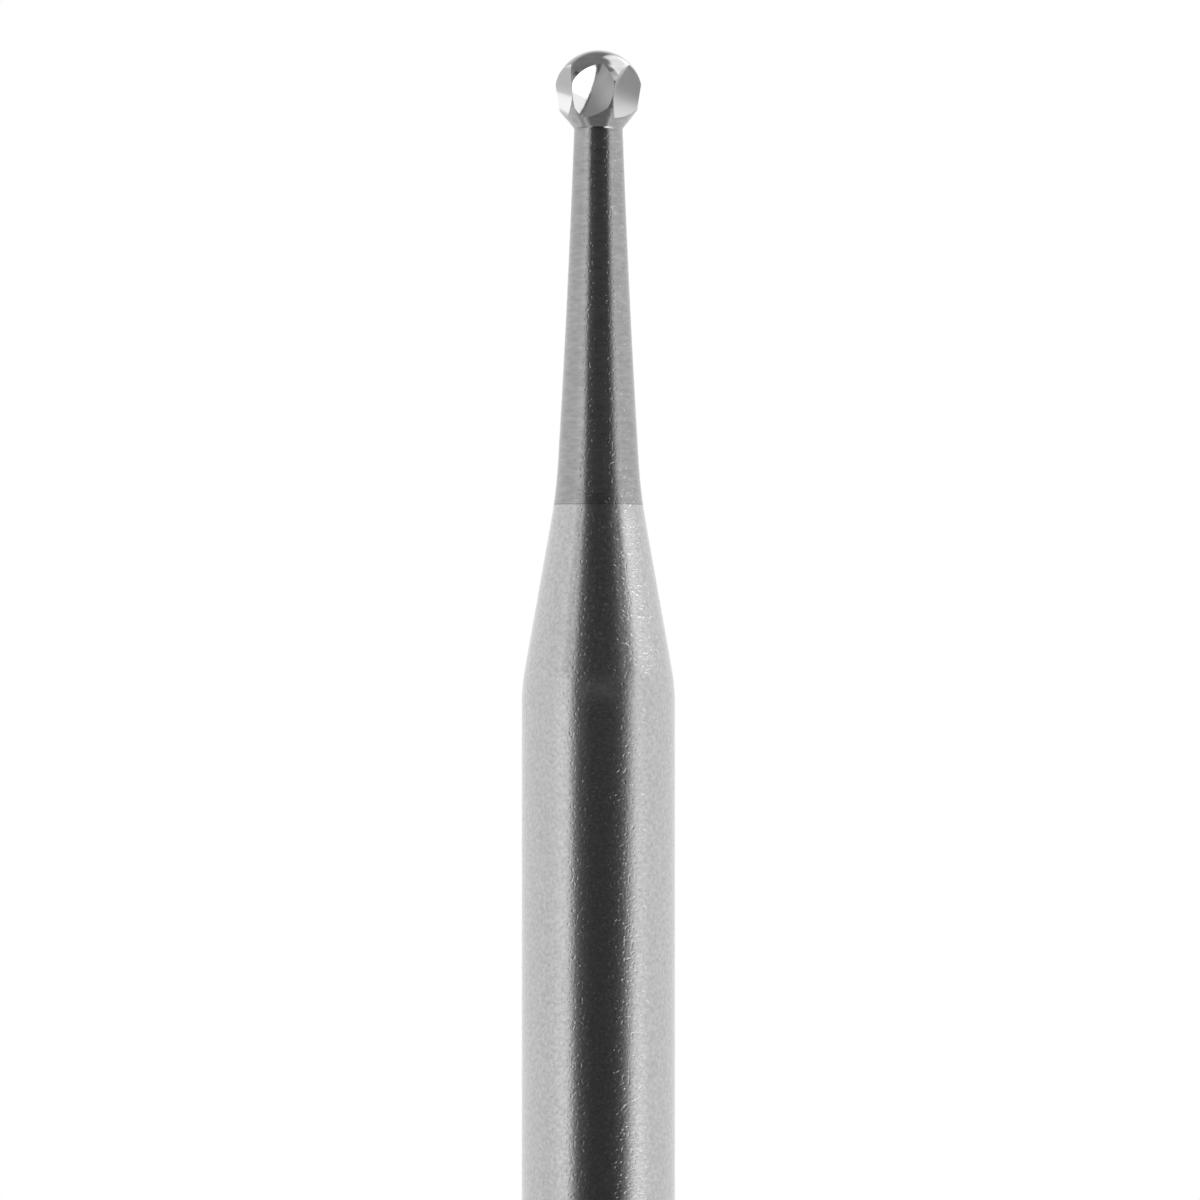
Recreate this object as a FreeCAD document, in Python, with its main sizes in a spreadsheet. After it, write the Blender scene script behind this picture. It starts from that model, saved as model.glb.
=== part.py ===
import FreeCAD, Part
import math
import os

import Sketcher

# Round carbide burr for a small handpiece: a solid carbide head and neck, joined end to end
# to a steel shank. The flat shank end stands on z = 0 and the head is up. Millimetres.

SIZES = [
    ("shank_diameter", 1.6, "gripped in the chuck"),
    ("shank_length", 12.36, "straight part, from the flat end to the shoulder"),
    ("shank_end_chamfer", 0.1, "broken edge at the flat end"),
    ("shoulder_radius", 2.2, "soft corner from the shank into the cone"),
    ("cone_length", 2.017, "from the shoulder to the foot of the neck"),
    ("cone_blend_radius", 5.5, "hollow corner from the cone into the neck"),
    ("seam_depth", 0.121, "how far below the foot of the neck the carbide ends"),
    ("neck_root_diameter", 0.884, "foot of the neck"),
    ("neck_tip_diameter", 0.508, "neck under the head"),
    ("neck_length", 3.803, "from the foot of the neck to the underside of the head"),
    ("neck_hollow_radius", 143.0, "the neck's outline is a very flat hollow arc"),
    ("head_diameter", 0.9, "widest part of the head"),
    ("head_length", 0.82, "from the underside of the head to its tip"),
    ("widest_rise", 0.1, "widest part of the head above the centre of its dome"),
    ("back_taper_angle", 8.6, "degrees, fall of the head's side below its widest part"),
    ("underside_angle", 39.0, "degrees, underside of the head to the axis"),
    ("underside_radius", 0.04, "hollow corner between neck and head"),
    ("blade_count", 6, "blades round the head"),
    ("flute_lean", 20.0, "degrees, flutes to the axis"),
    ("flute_offset", 0.064, "bottom of a flute to the side of the axis"),
    ("flute_wheel_radius", 0.58, "radius of the wheel that grinds a flute"),
    ("flute_root_distance", 0.231, "deepest point of a flute from the axis"),
    ("flute_drop", 0.056, "deepest point of a flute below the centre of the dome"),
    ("flute_face_angle", 37.0, "degrees, steeper side of a flute, the face of its blade"),
    ("flute_back_angle", 29.6, "degrees, flatter side of a flute, the back of the next blade"),
]

size = {name: value for name, value, note in SIZES}
doc = FreeCAD.newDocument("round_burr")
sheet = doc.addObject("Spreadsheet::Sheet", "sizes")
for row, (name, value, note) in enumerate(SIZES, start=1):
    sheet.set(f"A{row}", name)
    sheet.set(f"B{row}", str(value))
    sheet.setAlias(f"B{row}", name)
    sheet.set(f"C{row}", note)
doc.recompute()

# Heights that several features share: numbers to draw with, and the same sums to bind to
neck_foot = size["shank_length"] + size["cone_length"]
underside = neck_foot + size["neck_length"]
tip = underside + size["head_length"]
dome_radius = math.hypot(size["head_diameter"] / 2, size["widest_rise"])
dome_centre = tip - dome_radius
NECK_FOOT = "sizes.shank_length + sizes.cone_length"
SEAM = f"{NECK_FOOT} - sizes.seam_depth"
UNDERSIDE = f"{NECK_FOOT} + sizes.neck_length"
TIP = f"{UNDERSIDE} + sizes.head_length"
DOME_RADIUS = "sqrt((sizes.head_diameter / 2)^2 + sizes.widest_rise^2)"
DOME_CENTRE = f"{TIP} - {DOME_RADIUS}"

START, END, CENTRE = range(1, 4)
ORIGIN = (-1, START)


def point(x, y):
    return FreeCAD.Vector(x, y, 0)


def origin_feature(body, role):
    return next(feature for feature in body.Origin.OriginFeatures if feature.Role == role)


def new_sketch(body, name, plane):
    sketch = body.newObject("Sketcher::SketchObject", name)
    sketch.AttachmentSupport = [(origin_feature(body, plane), "")]
    sketch.MapMode = "FlatFace"
    return sketch


def bind(sketch, expression, *constraint):
    index = sketch.addConstraint(Sketcher.Constraint(*constraint))
    sketch.setExpression(f"Constraints[{index}]", expression)


def bind_across(sketch, element, end, expression):
    x = sketch.getPoint(element, end).x
    bind(sketch, expression, "DistanceX", *ORIGIN, element, end, x)


def bind_up(sketch, element, end, expression):
    y = sketch.getPoint(element, end).y
    bind(sketch, expression, "DistanceY", *ORIGIN, element, end, y)


def join(sketch, *ends):
    """Makes each pair of element ends one point."""
    for first, second in ends:
        sketch.addConstraint(Sketcher.Constraint("Coincident", *first, *second))


def touch(sketch, *ends):
    """Makes each pair of element ends one point where the elements run on smoothly."""
    for first, second in ends:
        sketch.addConstraint(Sketcher.Constraint("Tangent", *first, *second))


def right_of(way):
    return point(way.y, -way.x).normalize()


def arc_about(centre, start, end):
    """The short arc round this centre."""
    outward = (start - centre + end - centre).normalize()
    return Part.Arc(start, centre + outward * (start - centre).Length, end)


def blend_arc(corner, way, radius, neck_centre):
    """
    The arc that rounds a corner between the neck and a line through that corner. It touches the
    line, and the neck's circle from inside. The line's end comes first, then the neck's end.
    """
    neck_radius = size["neck_hollow_radius"]
    start = corner + right_of(way) * radius - neck_centre
    ahead = start.dot(way)
    across = math.sqrt(ahead**2 - start.Length**2 + (neck_radius - radius) ** 2)
    on_line = corner + way * (math.copysign(across, ahead) - ahead)
    centre = on_line + right_of(way) * radius
    on_neck = neck_centre + (centre - neck_centre).normalize() * neck_radius
    return arc_about(centre, on_line, on_neck), on_line, on_neck


def outline_shapes():
    """
    Half outline of the whole burr as it is before its flutes are ground, and at its end the three
    corners that are rounded: cone with shank, cone with neck, and neck with head.
    """
    shank = size["shank_diameter"] / 2
    chamfer = size["shank_end_chamfer"]
    head = size["head_diameter"] / 2
    end_edge = point(shank - chamfer, 0)
    end_top = point(shank, chamfer)
    shoulder_corner = point(shank, size["shank_length"])
    neck_corner = point(size["neck_root_diameter"] / 2, neck_foot)
    neck_top = point(size["neck_tip_diameter"] / 2, underside)
    widest = point(head, dome_centre + size["widest_rise"])
    top = point(0, tip)
    way = (neck_corner - shoulder_corner).normalize()

    # The shoulder's arc touches the shank and the cone
    shoulder_radius = size["shoulder_radius"]
    setback = shoulder_radius * math.tan(way.getAngle(point(0, 1)) / 2)
    shoulder_start = shoulder_corner - point(0, setback)
    shoulder_end = shoulder_corner + way * setback
    shoulder_centre = shoulder_start - point(shoulder_radius, 0)

    # The neck is a very flat hollow arc, and an arc at each of its ends rounds the corner there
    half_neck = (neck_top - neck_corner) * 0.5
    sunk = math.sqrt(size["neck_hollow_radius"] ** 2 - half_neck.Length**2)
    neck_centre = neck_corner + half_neck + right_of(half_neck) * sunk
    blend, cone_end, neck_start = blend_arc(
        neck_corner, way, size["cone_blend_radius"], neck_centre
    )
    slope = math.tan(math.radians(size["underside_angle"]))
    out = point(slope, 1).normalize()
    hollow, under_start, neck_end = blend_arc(
        neck_top, out, size["underside_radius"], neck_centre
    )

    # The underside of the head runs out to where it meets the back taper
    taper = math.tan(math.radians(size["back_taper_angle"]))
    rise = (widest.x - neck_top.x - taper * (widest.y - neck_top.y)) / (slope - taper)
    corner = point(neck_top.x + slope * rise, underside + rise)

    return [
        Part.LineSegment(point(0, 0), end_edge),
        Part.LineSegment(end_edge, end_top),
        Part.LineSegment(end_top, shoulder_start),
        arc_about(shoulder_centre, shoulder_start, shoulder_end),
        Part.LineSegment(shoulder_end, cone_end),
        blend,
        arc_about(neck_centre, neck_start, neck_end),
        hollow,
        Part.LineSegment(under_start, corner),
        Part.LineSegment(corner, widest),
        arc_about(point(0, dome_centre), widest, top),
        Part.LineSegment(top, point(0, 0)),
        Part.Point(shoulder_corner),
        Part.Point(neck_corner),
        Part.Point(neck_top),
    ]


def draw_outline(sketch):
    shapes = outline_shapes()
    sketch.addGeometry(shapes, False)
    flat_end, chamfered, shank_side, shoulder, cone, blend = range(6)
    neck, hollow, under, side, cap, middle = range(6, 12)
    corners = shoulder_corner, neck_corner, neck_top = range(12, 15)
    for corner in corners:
        sketch.setConstruction(corner, True)

    # An arc in a sketch runs anticlockwise, so the hollow ones start at their tops
    join(
        sketch,
        (ORIGIN, (flat_end, START)),
        ((flat_end, END), (chamfered, START)),
        ((chamfered, END), (shank_side, START)),
        ((under, END), (side, START)),
        ((side, END), (cap, START)),
        ((cap, END), (middle, START)),
        ((middle, END), (flat_end, START)),
    )
    touch(
        sketch,
        ((shank_side, END), (shoulder, START)),
        ((shoulder, END), (cone, START)),
        ((cone, END), (blend, END)),
        ((blend, START), (neck, END)),
        ((neck, START), (hollow, END)),
        ((hollow, START), (under, START)),
    )
    sketch.addConstraint(Sketcher.Constraint("Horizontal", flat_end))
    sketch.addConstraint(Sketcher.Constraint("Vertical", shank_side))
    sketch.addConstraint(Sketcher.Constraint("Vertical", middle))
    sketch.addConstraint(Sketcher.Constraint("PointOnObject", cap, CENTRE, middle))
    for corner, line in (
        (shoulder_corner, shank_side),
        (shoulder_corner, cone),
        (neck_corner, cone),
        (neck_corner, neck),
        (neck_top, neck),
        (neck_top, under),
    ):
        sketch.addConstraint(Sketcher.Constraint("PointOnObject", corner, START, line))

    bind_across(sketch, flat_end, END, "sizes.shank_diameter / 2 - sizes.shank_end_chamfer")
    bind_across(sketch, shank_side, START, "sizes.shank_diameter / 2")
    bind_up(sketch, shank_side, START, "sizes.shank_end_chamfer")
    bind_up(sketch, shoulder_corner, START, "sizes.shank_length")
    bind_across(sketch, neck_corner, START, "sizes.neck_root_diameter / 2")
    bind_up(sketch, neck_corner, START, NECK_FOOT)
    bind_across(sketch, neck_top, START, "sizes.neck_tip_diameter / 2")
    bind_up(sketch, neck_top, START, UNDERSIDE)
    bind_across(sketch, side, END, "sizes.head_diameter / 2")
    bind_up(sketch, cap, END, TIP)
    for arc, radius in (
        (shoulder, "shoulder_radius"),
        (blend, "cone_blend_radius"),
        (neck, "neck_hollow_radius"),
        (hollow, "underside_radius"),
    ):
        bind(sketch, f"sizes.{radius}", "Radius", arc, size[radius])
    bind(sketch, DOME_RADIUS, "Radius", cap, dome_radius)
    for line, angle in ((under, "underside_angle"), (side, "back_taper_angle")):
        steepness = math.radians(90 - size[angle])
        bind(sketch, f"(90 - sizes.{angle}) * 1 deg", "Angle", line, steepness)


def blank_body(label):
    """The joined blank, turned and ground as one, which both pieces are cut from."""
    body = doc.addObject("PartDesign::Body", label)
    body.Label = label
    outline = new_sketch(body, f"{label}_outline", "XZ_Plane")
    draw_outline(outline)
    turned = body.newObject("PartDesign::Revolution", f"{label}_turned")
    turned.Profile = outline
    turned.ReferenceAxis = (outline, ["V_Axis"])
    turned.Angle = 360
    doc.recompute()
    return body


def cut_at_seam(body, keep_lower):
    """Takes away all of the blank on the far side of the seam."""
    disc = new_sketch(body, f"{body.Label}_seam", "XY_Plane")
    disc.setExpression("AttachmentOffset.Base.z", SEAM)
    disc.addGeometry(Part.Circle(point(0, 0), FreeCAD.Vector(0, 0, 1), size["shank_diameter"]))
    join(disc, (ORIGIN, (0, CENTRE)))
    bind(disc, "sizes.shank_diameter", "Radius", 0, size["shank_diameter"])
    cut = body.newObject("PartDesign::Pocket", f"{body.Label}_cut")
    cut.Profile = disc
    cut.Type = "ThroughAll"
    cut.Reversed = keep_lower
    doc.recompute()
    return cut


def leaning_sketch(body, name, forward, along):
    """
    A sketch on a plane that leans with the flutes. Its origin lies forward of the burr's axis
    and along the lean from the centre of the dome.
    """
    sketch = new_sketch(body, name, "XY_Plane")
    lean = FreeCAD.Rotation(FreeCAD.Vector(0, 1, 0), size["flute_lean"])
    sketch.AttachmentOffset = FreeCAD.Placement(FreeCAD.Vector(), lean)
    sketch.setExpression("AttachmentOffset.Rotation.Angle", "sizes.flute_lean")
    sketch.setExpression("AttachmentOffset.Base.x", f"({along}) * sin(sizes.flute_lean)")
    sketch.setExpression("AttachmentOffset.Base.y", f"-({forward})")
    sketch.setExpression("AttachmentOffset.Base.z", f"{DOME_CENTRE} + ({along}) * cos(sizes.flute_lean)")
    return sketch


def grind_flute(body):
    """
    One flute, cut by a wheel whose rim is a blunt V. One side of the V leaves the cutting face of
    a blade, and the other side the back of the next one.
    """
    forward = "sizes.flute_root_distance + sizes.flute_wheel_radius"
    sketch = leaning_sketch(body, "flute_wheel", forward, "-sizes.flute_drop")
    wheel = size["flute_wheel_radius"]
    face_angle = math.radians(size["flute_face_angle"])
    back_angle = math.radians(size["flute_back_angle"])
    rim = point(-size["flute_offset"], wheel)
    face_end = point(rim.x + wheel / math.tan(face_angle), 0)
    back_end = point(rim.x - wheel / math.tan(back_angle), 0)
    face, back, axis = range(3)
    sketch.addGeometry(
        [
            Part.LineSegment(face_end, rim),
            Part.LineSegment(back_end, rim),
            Part.LineSegment(back_end, face_end),
        ],
        False,
    )
    join(
        sketch,
        ((face, END), (back, END)),
        ((back, START), (axis, START)),
        ((axis, END), (face, START)),
    )
    sketch.addConstraint(Sketcher.Constraint("PointOnObject", face, START, ORIGIN[0]))
    sketch.addConstraint(Sketcher.Constraint("PointOnObject", back, START, ORIGIN[0]))
    bind_across(sketch, face, END, "-sizes.flute_offset")
    bind_up(sketch, face, END, "sizes.flute_wheel_radius")
    bind(sketch, "(180 - sizes.flute_face_angle) * 1 deg", "Angle", face, math.pi - face_angle)
    bind(sketch, "sizes.flute_back_angle * 1 deg", "Angle", back, back_angle)
    flute = body.newObject("PartDesign::Groove", "flute")
    flute.Profile = sketch
    flute.ReferenceAxis = (sketch, ["H_Axis"])
    flute.Angle = 360
    doc.recompute()
    return flute


def make_shank():
    body = blank_body("steel_shank")
    cut_at_seam(body, keep_lower=True)
    return body


def make_head_and_neck():
    body = blank_body("carbide_head_and_neck")
    cut_at_seam(body, keep_lower=False)
    flute = grind_flute(body)
    blades = body.newObject("PartDesign::PolarPattern", "blades")
    blades.Originals = [flute]
    blades.Axis = (origin_feature(body, "Z_Axis"), [""])
    blades.Angle = 360
    blades.setExpression("Occurrences", "sizes.blade_count")
    body.Tip = blades
    doc.recompute()
    return body


bodies = [make_shank(), make_head_and_neck()]
doc.recompute()

for item in doc.Objects:
    if "Invalid" in item.State or "Error" in item.State:
        raise RuntimeError(f"{item.Name} did not build: {item.State}")
for body in bodies:
    if body.Shape.isNull() or not body.Shape.isValid() or len(body.Shape.Solids) != 1:
        raise RuntimeError(f"{body.Label} is not one sound solid")

os.makedirs("parts", exist_ok=True)
for body in bodies:
    body.Shape.exportStep(f"parts/{body.Label}.step")
    box = body.Shape.optimalBoundingBox()
    print(f"{body.Label}: volume {body.Shape.Volume:.4f}, z {box.ZMin:.3f} to {box.ZMax:.3f}")
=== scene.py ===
import math

import bpy
from mathutils import Matrix, Vector


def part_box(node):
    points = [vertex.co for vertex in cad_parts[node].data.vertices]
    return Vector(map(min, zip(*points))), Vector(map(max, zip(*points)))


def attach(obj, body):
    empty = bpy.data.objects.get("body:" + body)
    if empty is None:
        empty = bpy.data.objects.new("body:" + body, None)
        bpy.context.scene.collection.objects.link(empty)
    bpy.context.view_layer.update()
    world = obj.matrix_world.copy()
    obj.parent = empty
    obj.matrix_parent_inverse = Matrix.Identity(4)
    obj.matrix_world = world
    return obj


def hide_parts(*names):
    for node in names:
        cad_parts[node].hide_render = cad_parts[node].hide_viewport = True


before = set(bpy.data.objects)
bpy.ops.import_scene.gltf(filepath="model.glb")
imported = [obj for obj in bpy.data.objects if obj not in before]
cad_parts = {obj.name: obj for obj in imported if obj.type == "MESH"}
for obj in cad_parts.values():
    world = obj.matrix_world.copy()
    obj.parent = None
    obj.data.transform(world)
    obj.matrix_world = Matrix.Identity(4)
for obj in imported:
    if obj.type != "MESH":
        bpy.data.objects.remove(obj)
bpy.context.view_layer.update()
mm = 0.001

# Heights and widths that the CAD pieces give, in millimetres
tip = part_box("carbide_head_and_neck")[1].z / mm
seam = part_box("carbide_head_and_neck")[0].z / mm
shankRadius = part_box("steel_shank")[1].x / mm
print(f"frame loaded: tip {tip:.3f} mm, seam {seam:.3f} mm, shank radius {shankRadius:.3f} mm")


# Modelling tools

mergeUnder = 0.00005  # millimetres


def deselectAll():
    if bpy.context.object and bpy.context.object.mode != "OBJECT":
        bpy.ops.object.mode_set(mode="OBJECT")
    bpy.ops.object.select_all(action="DESELECT")


def pickOnly(piece):
    deselectAll()
    piece.select_set(True)
    bpy.context.view_layer.objects.active = piece


def arcBetween(centre, start, end, steps):
    # the points of the short arc after its start
    arm = start - centre
    turn = arm.angle_signed(end - centre)
    return [centre + Matrix.Rotation(-turn * k / steps, 2) @ arm for k in range(1, steps + 1)]


def drawLine(name, points):
    # one vertex, drawn out step by step in the plane y = 0
    deselectAll()
    bpy.ops.mesh.primitive_plane_add(size=1, location=(0, 0, 0))
    piece = bpy.context.object
    piece.name = name
    piece.data.name = name
    bpy.ops.object.mode_set(mode="EDIT")
    bpy.ops.mesh.select_all(action="SELECT")
    bpy.ops.mesh.merge(type="CENTER")
    bpy.ops.transform.translate(value=(points[0].x, 0, points[0].y))
    for here, there in zip(points, points[1:]):
        step = there - here
        bpy.ops.mesh.extrude_region_move(TRANSFORM_OT_translate={"value": (step.x, 0, step.y)})
    return piece


def spinRound(segments, axis=(0, 0, 1)):
    # spins the line that is being edited right round an axis through the origin
    bpy.ops.mesh.select_all(action="SELECT")
    bpy.ops.mesh.spin(steps=segments, angle=math.tau, center=(0, 0, 0), axis=axis)
    bpy.ops.mesh.select_all(action="SELECT")
    bpy.ops.mesh.remove_doubles(threshold=mergeUnder)
    bpy.ops.mesh.normals_make_consistent(inside=False)
    bpy.ops.object.mode_set(mode="OBJECT")


def copiesRound(tool, count):
    # copies stand evenly round the burr's axis, each with its own mesh
    tools = [tool]
    for index in range(1, count):
        pickOnly(tool)
        bpy.ops.object.duplicate()
        turned = bpy.context.object
        bpy.ops.transform.rotate(
            value=math.tau * index / count, orient_axis="Z", center_override=(0, 0, 0)
        )
        bpy.ops.object.transform_apply(location=True, rotation=True, scale=True)
        tools.append(turned)
    return tools


def cutWith(piece, tools):
    pickOnly(piece)
    for tool in tools:
        cut = piece.modifiers.new("cut", "BOOLEAN")
        cut.operation = "DIFFERENCE"
        cut.solver = "EXACT"
        cut.object = tool
        bpy.ops.object.modifier_apply(modifier=cut.name)
        bpy.data.objects.remove(tool)


def toRealSize(piece):
    # modelled in millimetres, kept in metres
    pickOnly(piece)
    piece.scale = (mm, mm, mm)
    bpy.ops.object.transform_apply(location=True, rotation=True, scale=True)


def smoothUnder(piece, degrees):
    pickOnly(piece)
    bpy.ops.object.shade_smooth_by_angle(angle=math.radians(degrees))


# Materials


def addNode(tree, kind, place, **inputs):
    node = tree.nodes.new(kind)
    node.location = place
    for name, value in inputs.items():
        node.inputs[name].default_value = value
    return node


def mathNode(tree, operation, place, first, second=None):
    node = tree.nodes.new("ShaderNodeMath")
    node.operation = operation
    node.location = place
    for socket, value in zip(node.inputs, (first, second)):
        if value is None:
            continue
        if isinstance(value, (int, float)):
            socket.default_value = value
        else:
            tree.links.new(value, socket)
    return node.outputs[0]


def newMaterial(name):
    material = bpy.data.materials.new(name)
    material.use_nodes = True
    tree = material.node_tree
    shader = tree.nodes["Principled BSDF"]
    coordinates = addNode(tree, "ShaderNodeTexCoord", (-1400, 0)).outputs["Object"]
    return material, tree, shader, coordinates


def noiseOf(tree, coordinates, place, scale, detail=2.0, stretch=(1, 1, 1)):
    # stretch below 1 along an axis draws the pattern out along it
    mapping = addNode(tree, "ShaderNodeMapping", (place[0] - 200, place[1]))
    mapping.inputs["Scale"].default_value = stretch
    noise = addNode(tree, "ShaderNodeTexNoise", place, Scale=scale, Detail=detail)
    tree.links.new(coordinates, mapping.inputs["Vector"])
    tree.links.new(mapping.outputs[0], noise.inputs["Vector"])
    return noise.outputs["Fac"]


def spread(tree, value, place, low, high):
    # noise from about 0.3 to 0.7 becomes low to high
    node = addNode(tree, "ShaderNodeMapRange", place)
    node.inputs["From Min"].default_value = 0.3
    node.inputs["From Max"].default_value = 0.7
    node.inputs["To Min"].default_value = low
    node.inputs["To Max"].default_value = high
    tree.links.new(value, node.inputs["Value"])
    return node.outputs["Result"]


def greyOf(tree, value, place):
    node = addNode(tree, "ShaderNodeCombineColor", place)
    for socket in node.inputs[:3]:
        tree.links.new(value, socket)
    return node.outputs["Color"]


# Noise scales count per metre, and the height of the grain is in metres

# lines are drawn out round the burr, and the top of the noise becomes pits
roughSurface = {"lineStretch": (0.05, 0.05, 1), "pitsFrom": 0.64, "pitsTo": 0.8}


def roughHeight(tree, coordinates, grain, finish):
    # even grain, faint lines round the burr and scattered pits
    lines = noiseOf(tree, coordinates, (-1000, -300), finish["lines"], 2, roughSurface["lineStretch"])
    pits = noiseOf(tree, coordinates, (-1000, -600), finish["pits"], detail=0)
    deep = addNode(tree, "ShaderNodeMapRange", (-800, -600))
    deep.inputs["From Min"].default_value = roughSurface["pitsFrom"]
    deep.inputs["From Max"].default_value = roughSurface["pitsTo"]
    deep.inputs["To Max"].default_value = finish["pitShare"]
    tree.links.new(pits, deep.inputs["Value"])
    lined = mathNode(tree, "MULTIPLY_ADD", (-700, -200), lines, finish["lineShare"])
    tree.links.new(grain, lined.node.inputs[2])
    return mathNode(tree, "SUBTRACT", (-600, -400), lined, deep.outputs["Result"])


def groundMetal(name, finish):
    # mottled metal with a rough surface; its roughness is left to the caller
    material, tree, shader, coordinates = newMaterial(name)
    mottle = noiseOf(tree, coordinates, (-1000, 300), finish["mottle"], 3, finish["mottleStretch"])
    low = finish["tone"] - finish["toneSpread"]
    high = finish["tone"] + finish["toneSpread"]
    tone = spread(tree, mottle, (-700, 300), low, high)
    tree.links.new(greyOf(tree, tone, (-500, 300)), shader.inputs["Base Color"])
    grain = noiseOf(tree, coordinates, (-1000, 0), finish["grain"], detail=3)
    bump = addNode(tree, "ShaderNodeBump", (-400, -200), Strength=1.0, Distance=finish["grainHeight"])
    tree.links.new(roughHeight(tree, coordinates, grain, finish), bump.inputs["Height"])
    tree.links.new(bump.outputs[0], shader.inputs["Normal"])
    shader.inputs["Metallic"].default_value = 1.0
    return material, tree, shader, coordinates, grain, bump


steel = {
    "tone": 0.58,
    "toneSpread": 0.075,
    "mottle": 26000,
    "mottleStretch": (1, 1, 1),
    "roughness": 0.18,
    "roughnessSpread": 0.05,
    "grain": 40000,
    "grainHeight": 0.0000014,
    "lines": 70000,
    "lineShare": 0.3,
    "pits": 30000,
    "pitShare": 0.8,
}


def steelMaterial():
    material, tree, shader, coordinates, grain, bump = groundMetal("groundSteel", steel)
    low = steel["roughness"] - steel["roughnessSpread"]
    high = steel["roughness"] + steel["roughnessSpread"]
    tree.links.new(spread(tree, grain, (-700, 100), low, high), shader.inputs["Roughness"])
    return material


carbide = {
    "tone": 0.41,
    "toneSpread": 0.05,
    "mottle": 24000,
    "mottleStretch": (0.3, 0.3, 1),
    "neckRoughness": 0.17,
    "headRoughness": 0.1,
    # millimetres: where the finer finish of the head begins, and half its soft edge
    "headBelowTip": 0.83,
    "headEdge": 0.03,
    # how much of the rough surface the head has lost
    "headCalm": 0.85,
    "grain": 44000,
    "grainHeight": 0.0000013,
    "lines": 60000,
    "lineShare": 0.6,
    "pits": 36000,
    "pitShare": 1.1,
}


def carbideMaterial():
    material, tree, shader, coordinates, grain, bump = groundMetal("groundCarbide", carbide)
    # 0 on the neck and 1 on the finer ground head
    parted = addNode(tree, "ShaderNodeSeparateXYZ", (-1200, -900))
    tree.links.new(coordinates, parted.inputs[0])
    onHead = addNode(tree, "ShaderNodeMapRange", (-1000, -900))
    onHead.interpolation_type = "SMOOTHSTEP"
    begins = tip - carbide["headBelowTip"]
    onHead.inputs["From Min"].default_value = (begins - carbide["headEdge"]) * mm
    onHead.inputs["From Max"].default_value = (begins + carbide["headEdge"]) * mm
    tree.links.new(parted.outputs["Z"], onHead.inputs["Value"])
    head = onHead.outputs["Result"]

    rough = addNode(tree, "ShaderNodeMapRange", (-700, 100))
    rough.inputs["To Min"].default_value = carbide["neckRoughness"]
    rough.inputs["To Max"].default_value = carbide["headRoughness"]
    tree.links.new(head, rough.inputs["Value"])
    tree.links.new(rough.outputs["Result"], shader.inputs["Roughness"])
    calm = mathNode(tree, "MULTIPLY_ADD", (-700, -800), head, -carbide["headCalm"])
    calm.node.inputs[2].default_value = 1.0
    tree.links.new(calm, bump.inputs["Strength"])
    return material


# the two sides of a flute, both of the same carbide: the backs of the blades, given a far lighter tone
# than the carbide as a painted highlight, and their matt faces, given a lighter tone as painted light
bladeBackPaintedHighlight = {"tone": 0.9, "roughness": 0.09, "grain": 50000, "grainHeight": 0.0000002}
bladeFacePaintedLight = {"tone": 0.6, "roughness": 0.46, "grain": 45000, "grainHeight": 0.0000006}


def groundMaterial(name, finish):
    material, tree, shader, coordinates = newMaterial(name)
    shader.inputs["Base Color"].default_value = (finish["tone"],) * 3 + (1,)
    shader.inputs["Roughness"].default_value = finish["roughness"]
    shader.inputs["Metallic"].default_value = 1.0
    grain = noiseOf(tree, coordinates, (-1000, 0), finish["grain"])
    bump = addNode(tree, "ShaderNodeBump", (-400, -200), Strength=1.0, Distance=finish["grainHeight"])
    tree.links.new(grain, bump.inputs["Height"])
    tree.links.new(bump.outputs[0], shader.inputs["Normal"])
    return material


steelFinish = steelMaterial()
carbideFinish = carbideMaterial()
# lighter copies of the carbide: a painted highlight on the backs of the blades, painted light on their
# faces
backFinishPaintedHighlight = groundMaterial("bladeBackPaintedHighlight", bladeBackPaintedHighlight)
faceFinishPaintedLight = groundMaterial("bladeFacePaintedLight", bladeFacePaintedLight)
print("materials made")


# The turned and ground outline of the whole burr, in millimetres and degrees

outline = {
    "endChamfer": 0.1,
    "shoulderBelowTip": 6.64,
    "shoulderRadius": 2.2,
    "neckFootBelowTip": 4.623,
    "neckFootRadius": 0.442,
    "blendRadius": 5.5,
    "neckTopRadius": 0.254,
    "hollowRadius": 143,
    "headLength": 0.82,
    "headRadius": 0.45,
    # widest part of the head above the centre of its dome
    "widestRise": 0.1,
    "undersideAngle": 39,
    "undersideRadius": 0.04,
    "backTaper": 8.6,
    "seamChamfer": 0.004,
    "spinSteps": 256,
    "smoothUnder": 25,
}
domeRadius = math.hypot(outline["headRadius"], outline["widestRise"])
# lines that each arc of the outline is drawn with
arcSteps = {"shoulder": 12, "blend": 10, "neck": 36, "underside": 8, "dome": 48}


def rightOf(way):
    return Vector((way.y, -way.x)).normalized()


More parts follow.
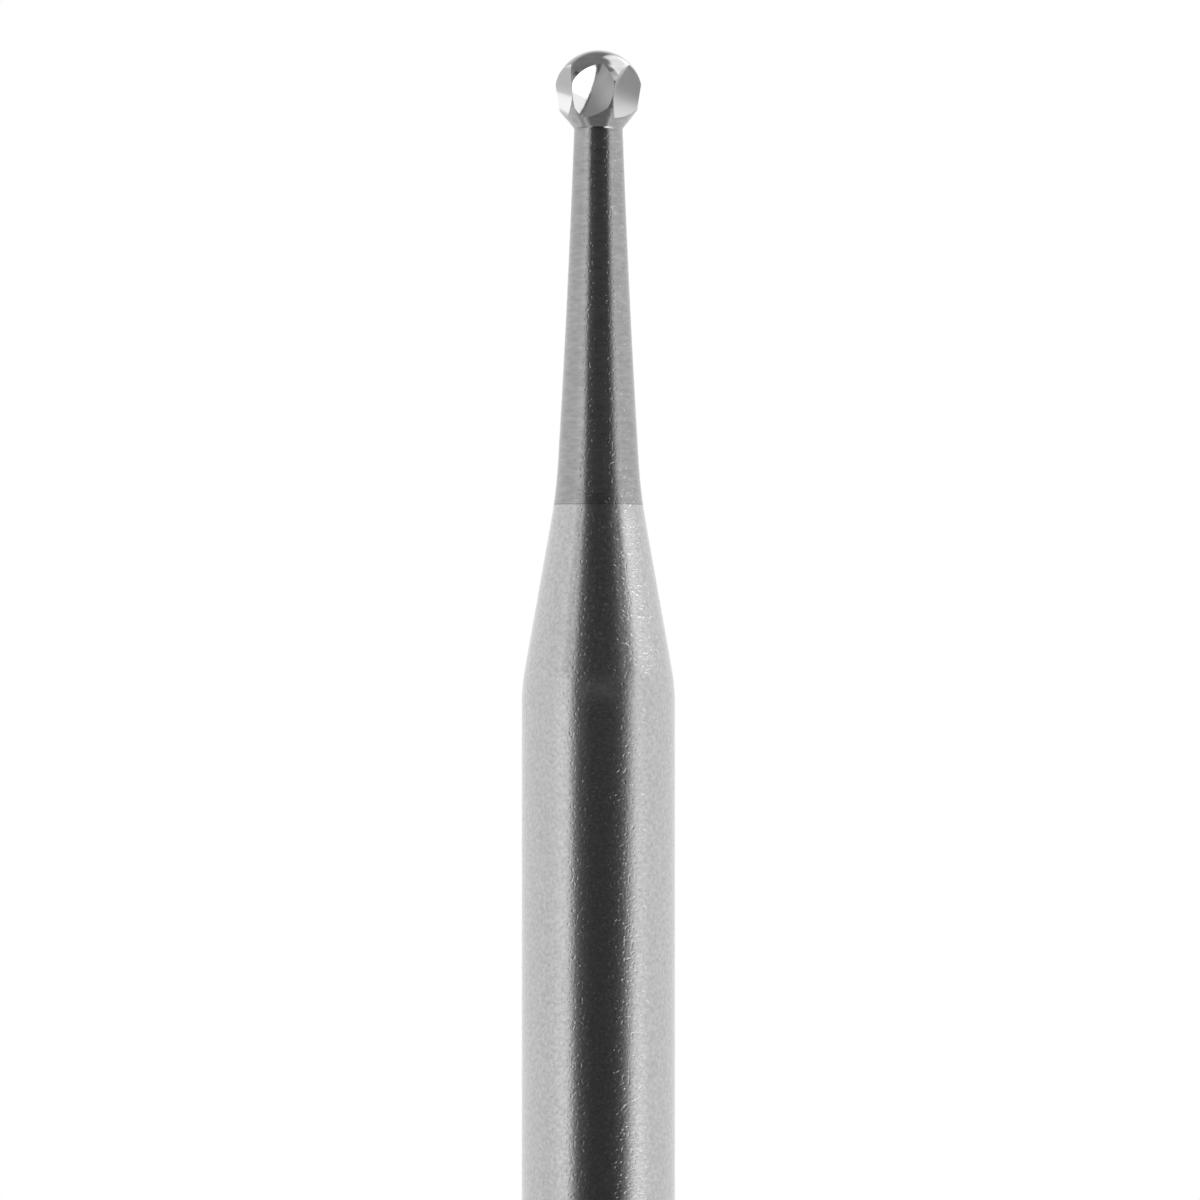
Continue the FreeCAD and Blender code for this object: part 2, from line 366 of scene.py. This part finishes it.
def outlinePoints():
    # from the middle of the shank's end to the seam, and from the seam to the tip
    o = outline
    shoulder = Vector((shankRadius, tip - o["shoulderBelowTip"]))
    foot = Vector((o["neckFootRadius"], tip - o["neckFootBelowTip"]))
    neckTop = Vector((o["neckTopRadius"], tip - o["headLength"]))
    way = (foot - shoulder).normalized()

    # shoulder, between the shank and the cone
    setback = o["shoulderRadius"] * math.tan(way.angle(Vector((0, 1))) / 2)
    shoulderStart = shoulder - Vector((0, setback))
    shoulderEnd = shoulder + way * setback
    shoulderCentre = shoulderStart - Vector((o["shoulderRadius"], 0))

    # neck, a very flat hollow arc, and the blend that touches it and the cone
    half = (neckTop - foot) / 2
    neckCentre = foot + half + rightOf(half) * math.sqrt(o["hollowRadius"] ** 2 - half.length**2)
    offset = foot + rightOf(way) * o["blendRadius"] - neckCentre
    ahead = offset.dot(way)
    reach = o["hollowRadius"] - o["blendRadius"]
    blendStart = foot + way * (math.sqrt(ahead**2 - offset.length**2 + reach**2) - ahead)
    blendCentre = blendStart + rightOf(way) * o["blendRadius"]
    blendEnd = neckCentre + (blendCentre - neckCentre).normalized() * o["hollowRadius"]

    # underside of the head, its hollow corner with the neck, and the back taper
    slope = math.tan(math.radians(o["undersideAngle"]))
    taper = math.tan(math.radians(o["backTaper"]))
    domeCentre = Vector((0, tip - domeRadius))
    widest = domeCentre + Vector((o["headRadius"], o["widestRise"]))
    climb = (widest.x - neckTop.x - taper * (widest.y - neckTop.y)) / (slope - taper)
    headCorner = neckTop + Vector((slope * climb, climb))
    up = rightOf(neckCentre - neckTop) * -1
    out = (headCorner - neckTop).normalized()
    corner = o["undersideRadius"] * math.tan(up.angle(out) / 2)
    cornerStart = neckTop - up * corner
    cornerEnd = neckTop + out * corner
    cornerCentre = cornerStart + rightOf(up) * o["undersideRadius"]

    lower = [Vector((0, 0)), Vector((shankRadius - o["endChamfer"], 0))]
    lower += [Vector((shankRadius, o["endChamfer"])), shoulderStart.copy()]
    lower += arcBetween(shoulderCentre, shoulderStart, shoulderEnd, arcSteps["shoulder"])
    upper = [blendStart.copy()]
    upper += arcBetween(blendCentre, blendStart, blendEnd, arcSteps["blend"])
    upper += arcBetween(neckCentre, blendEnd, cornerStart, arcSteps["neck"])
    upper += arcBetween(cornerCentre, cornerStart, cornerEnd, arcSteps["underside"])
    upper += [headCorner, widest]
    upper += arcBetween(domeCentre, widest, Vector((0, tip)), arcSteps["dome"])

    # the seam lies on the blend or on the cone
    whole = lower + upper
    index = next(k for k, p in enumerate(whole) if p.y > seam)
    below, above = whole[index - 1], whole[index]
    onSeam = below.lerp(above, (seam - below.y) / (above.y - below.y))
    chamfer = o["seamChamfer"]
    inward = Vector((onSeam.x - chamfer, seam))
    shankSide = whole[:index] + [onSeam - Vector((0, chamfer)), inward, Vector((0, seam))]
    neckSide = [Vector((0, seam)), inward, onSeam + Vector((0, chamfer))] + whole[index:]
    return shankSide, neckSide


shankOutline, neckOutline = outlinePoints()


# Steel shank with its cone


def makeShank():
    piece = drawLine("burrShank", shankOutline)
    spinRound(outline["spinSteps"])
    toRealSize(piece)
    smoothUnder(piece, outline["smoothUnder"])
    piece.data.materials.append(steelFinish)
    return piece


burrShank = makeShank()
print(f"shank turned: {len(burrShank.data.polygons)} faces")


# Carbide head and neck: turned blank, then six ground flutes

blades = {
    "count": 6,
    "lean": 20,
    "offset": 0.064,
    "wheelRadius": 0.58,
    "rootDistance": 0.231,
    "drop": 0.056,
    "faceAngle": 37,
    "backAngle": 29.6,
    "wheelSides": 640,
}
headFinishes = [carbideFinish, backFinishPaintedHighlight, faceFinishPaintedLight]


def makeFluteWheel():
    # a wheel whose rim is a blunt V, drawn as half a section and spun round its own axis
    b = blades
    rim = Vector((-b["offset"], b["wheelRadius"]))
    faceEnd = Vector((rim.x + rim.y / math.tan(math.radians(b["faceAngle"])), 0))
    backEnd = Vector((rim.x - rim.y / math.tan(math.radians(b["backAngle"])), 0))
    wheel = drawLine("fluteWheel", [faceEnd, rim, backEnd])
    spinRound(b["wheelSides"], axis=(1, 0, 0))
    # one side of the wheel leaves the backs of the blades, toned lighter as a painted highlight, the
    # other their matt faces, toned lighter as painted light
    for finish in headFinishes:
        wheel.data.materials.append(finish)
    for face in wheel.data.polygons:
        face.material_index = 1 if face.center.x < rim.x else 2
    lean = math.radians(b["lean"])
    along = Vector((math.sin(lean), 0, math.cos(lean)))
    centre = Vector((0, -b["rootDistance"] - b["wheelRadius"], tip - domeRadius))
    place = Matrix.Translation(centre - along * b["drop"]) @ Matrix.Rotation(lean, 4, "Y")
    wheel.data.transform(place)
    return wheel


def makeHeadAndNeck():
    piece = drawLine("burrHeadAndNeck", neckOutline)
    spinRound(outline["spinSteps"])
    for finish in headFinishes:
        piece.data.materials.append(finish)
    cutWith(piece, copiesRound(makeFluteWheel(), blades["count"]))
    toRealSize(piece)
    smoothUnder(piece, outline["smoothUnder"])
    return piece


burrHeadAndNeck = makeHeadAndNeck()
print(f"head and neck ground: {len(burrHeadAndNeck.data.polygons)} faces")


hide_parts("steel_shank")
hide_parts("carbide_head_and_neck")
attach(burrShank, "root")
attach(burrHeadAndNeck, "root")


# Floor

floorSize = {"radius": 60, "sides": 128, "fadeFrom": 35, "tone": 0.88, "roughness": 0.6}


def floorMaterial():
    material, tree, shader, coordinates = newMaterial("paleFloor")
    shader.inputs["Base Color"].default_value = (floorSize["tone"],) * 3 + (1,)
    shader.inputs["Roughness"].default_value = floorSize["roughness"]
    # the rim fades into the pale surroundings
    distance = addNode(tree, "ShaderNodeVectorMath", (-800, -400))
    distance.operation = "LENGTH"
    tree.links.new(coordinates, distance.inputs[0])
    fade = addNode(tree, "ShaderNodeMapRange", (-600, -400))
    fade.inputs["From Min"].default_value = floorSize["fadeFrom"] * mm
    fade.inputs["From Max"].default_value = floorSize["radius"] * mm
    tree.links.new(distance.outputs["Value"], fade.inputs["Value"])
    clear = addNode(tree, "ShaderNodeBsdfTransparent", (-300, -300))
    mix = addNode(tree, "ShaderNodeMixShader", (100, 0))
    tree.links.new(fade.outputs["Result"], mix.inputs[0])
    tree.links.new(shader.outputs[0], mix.inputs[1])
    tree.links.new(clear.outputs[0], mix.inputs[2])
    tree.links.new(mix.outputs[0], tree.nodes["Material Output"].inputs["Surface"])
    return material


def makeFloor():
    deselectAll()
    bpy.ops.mesh.primitive_circle_add(
        vertices=floorSize["sides"], radius=floorSize["radius"] * mm, fill_type="NGON", location=(0, 0, 0)
    )
    floor = bpy.context.object
    floor.name = "floor"
    floor.data.materials.append(floorMaterial())
    # metal mirrors the tent alone
    floor.visible_glossy = False


makeFloor()


# Light: a bright tent round the burr, open and dark on the side of the camera

tent = {
    # brightness by the angle round the burr: 0 is the open side, positive angles lie to the right
    "stops": [
        (-180, 1.0), (-155, 0.95), (-125, 0.9), (-90, 0.86), (-73, 0.86), (-58, 1.02), (-51, 1.0),
        (-46, 0.94), (-41, 0.56), (-35, 0.18), (-28, 0.1), (-20, 0.065), (-10, 0.045), (10, 0.045),
        (20, 0.05), (28, 0.065), (35, 0.095), (41, 0.18), (47, 0.38), (53, 0.7), (59, 0.92),
        (66, 0.94), (76, 0.86), (90, 0.88), (120, 0.9), (155, 0.95), (180, 1.0),
    ],
    # the roof over the tent and the shade under it, by height above the horizon in degrees
    "roof": {"begins": 30, "ends": 46, "brightness": 0.36},
    "shade": {"begins": -58, "ends": -67, "brightness": 0.26},
}

# panels on the tent: middle and half width in degrees, round and up, and the soft edge's width;
# a panel of negative strength takes light away
panels = [
    # from below: on the bright back of the front flute, and on the matt faces on the right
    {"round": 62, "halfRound": 14, "up": -34, "halfUp": 24, "edge": 6, "strength": 0.6},
    {"round": 42, "halfRound": 8, "up": -33, "halfUp": 15, "edge": 6, "strength": 1.3},
    # shade on the left side of the head and on the face of the front flute
    {"round": -78, "halfRound": 24, "up": -34, "halfUp": 20, "edge": 6, "strength": -0.35},
    {"round": -80, "halfRound": 10, "up": 34, "halfUp": 10, "edge": 6, "strength": -0.25},
    # from above: on the foot of the front flute, and on the right side of the dome
    {"round": 60, "halfRound": 16, "up": 40, "halfUp": 10, "edge": 6, "strength": 0.6},
    {"round": 117, "halfRound": 40, "up": 44, "halfUp": 19, "edge": 11, "strength": 1.4},
    # the dark stripe is wider on the cone, and a little lighter on the neck
    {"round": -53, "halfRound": 5, "up": 21, "halfUp": 4, "edge": 5, "strength": -0.4},
    {"round": 54, "halfRound": 5, "up": 21, "halfUp": 4, "edge": 5, "strength": -0.45},
    {"round": 0, "halfRound": 26, "up": 9, "halfUp": 4, "edge": 3, "strength": 0.05},
]


def stepBetween(tree, value, start, end, low, high, place):
    node = addNode(tree, "ShaderNodeMapRange", place)
    node.interpolation_type = "SMOOTHSTEP"
    node.inputs["From Min"].default_value = start
    node.inputs["From Max"].default_value = end
    node.inputs["To Min"].default_value = low
    node.inputs["To Max"].default_value = high
    tree.links.new(value, node.inputs["Value"])
    return node.outputs["Result"]


def panelLight(tree, azimuth, elevation, panel, place):
    # full inside the panel's half widths, nothing beyond its soft edge
    share = panel["strength"]
    for angle, middle, half in (
        (azimuth, panel["round"], panel["halfRound"]),
        (elevation, panel["up"], panel["halfUp"]),
    ):
        away = mathNode(tree, "SUBTRACT", place, angle, math.radians(middle))
        away = mathNode(tree, "ABSOLUTE", (place[0] + 200, place[1]), away)
        inside = math.radians(half)
        outside = math.radians(half + panel["edge"])
        part = stepBetween(tree, away, inside, outside, 1.0, 0.0, (place[0] + 400, place[1]))
        share = mathNode(tree, "MULTIPLY", (place[0] + 600, place[1]), part, share)
        place = (place[0], place[1] - 200)
    return share


def tentWall(tree, azimuth, place):
    whole = mathNode(tree, "MULTIPLY_ADD", place, azimuth, 1 / math.tau)
    whole.node.inputs[2].default_value = 0.5
    ramp = addNode(tree, "ShaderNodeValToRGB", (place[0] + 200, place[1]))
    elements = ramp.color_ramp.elements
    while len(elements) < len(tent["stops"]):
        elements.new(0.5)
    for element, (degrees, brightness) in zip(elements, tent["stops"]):
        element.position = 0.5 + degrees / 360
        element.color = (brightness, brightness, brightness, 1)
    tree.links.new(whole, ramp.inputs["Fac"])
    wall = addNode(tree, "ShaderNodeRGBToBW", (place[0] + 500, place[1]))
    tree.links.new(ramp.outputs["Color"], wall.inputs[0])
    return wall.outputs[0]


def blendTo(tree, value, elevation, zone, place):
    # passes from the value to the zone's brightness between its two heights
    start = math.radians(zone["begins"])
    end = math.radians(zone["ends"])
    share = stepBetween(tree, elevation, start, end, 0.0, 1.0, place)
    mix = addNode(tree, "ShaderNodeMix", (place[0] + 200, place[1]))
    mix.data_type = "FLOAT"
    tree.links.new(share, mix.inputs[0])
    tree.links.new(value, mix.inputs[2])
    mix.inputs[3].default_value = zone["brightness"]
    return mix.outputs[0]


def makeWorld():
    world = bpy.data.worlds.new("tent")
    bpy.context.scene.world = world
    world.use_nodes = True
    tree = world.node_tree
    background = tree.nodes["Background"]
    output = tree.nodes["World Output"]
    direction = addNode(tree, "ShaderNodeTexCoord", (-2000, 0)).outputs["Generated"]
    parted = addNode(tree, "ShaderNodeSeparateXYZ", (-1800, 0))
    tree.links.new(direction, parted.inputs[0])
    toward = mathNode(tree, "MULTIPLY", (-1600, -100), parted.outputs["Y"], -1.0)
    azimuth = mathNode(tree, "ARCTAN2", (-1400, 0), parted.outputs["X"], toward)
    elevation = mathNode(tree, "ARCSINE", (-1400, -300), parted.outputs["Z"])
    total = tentWall(tree, azimuth, (-1100, 300))
    total = blendTo(tree, total, elevation, tent["roof"], (-500, 300))
    total = blendTo(tree, total, elevation, tent["shade"], (-100, 300))
    for index, panel in enumerate(panels):
        light = panelLight(tree, azimuth, elevation, panel, (-1100, -400 - 500 * index))
        total = mathNode(tree, "ADD", (200, -200 - 200 * index), total, light)
    background.inputs["Color"].default_value = (1, 1, 1, 1)
    tree.links.new(total, background.inputs["Strength"])
    # what the camera sees of the surroundings is plain white
    white = addNode(tree, "ShaderNodeBackground", (200, 600))
    white.inputs["Color"].default_value = (1, 1, 1, 1)
    seen = addNode(tree, "ShaderNodeLightPath", (200, 900))
    choose = addNode(tree, "ShaderNodeMixShader", (500, 100))
    tree.links.new(seen.outputs["Is Camera Ray"], choose.inputs[0])
    tree.links.new(background.outputs[0], choose.inputs[1])
    tree.links.new(white.outputs[0], choose.inputs[2])
    tree.links.new(choose.outputs[0], output.inputs["Surface"])


makeWorld()
bpy.context.scene.view_settings.view_transform = "Standard"
print("light and floor made")


# Camera: a long lens, level with the neck, looking along +Y

cameraSet = {
    "lens": 200,
    "sensor": 36,
    # millimetres at the burr for one pixel of the photograph, and where its axis and tip lie
    "pixel": 12.53 / 1200,
    "axisPixel": 598.4,
    "tipPixel": 50.3,
    "imageSize": 1200,
    # metres
    "clipStart": 0.001,
    "clipEnd": 10,
}


def makeCamera():
    c = cameraSet
    side = c["pixel"] * c["imageSize"]
    distance = side * c["lens"] / c["sensor"]
    middle = c["imageSize"] / 2
    across = (middle - c["axisPixel"]) * c["pixel"]
    height = tip - (middle - c["tipPixel"]) * c["pixel"]
    deselectAll()
    place = (across * mm, -distance * mm, height * mm)
    bpy.ops.object.camera_add(location=place, rotation=(math.pi / 2, 0, 0))
    camera = bpy.context.object
    camera.data.lens = c["lens"]
    camera.data.sensor_width = c["sensor"]
    camera.data.clip_start = c["clipStart"]
    camera.data.clip_end = c["clipEnd"]
    bpy.context.scene.camera = camera


makeCamera()
print("camera placed")
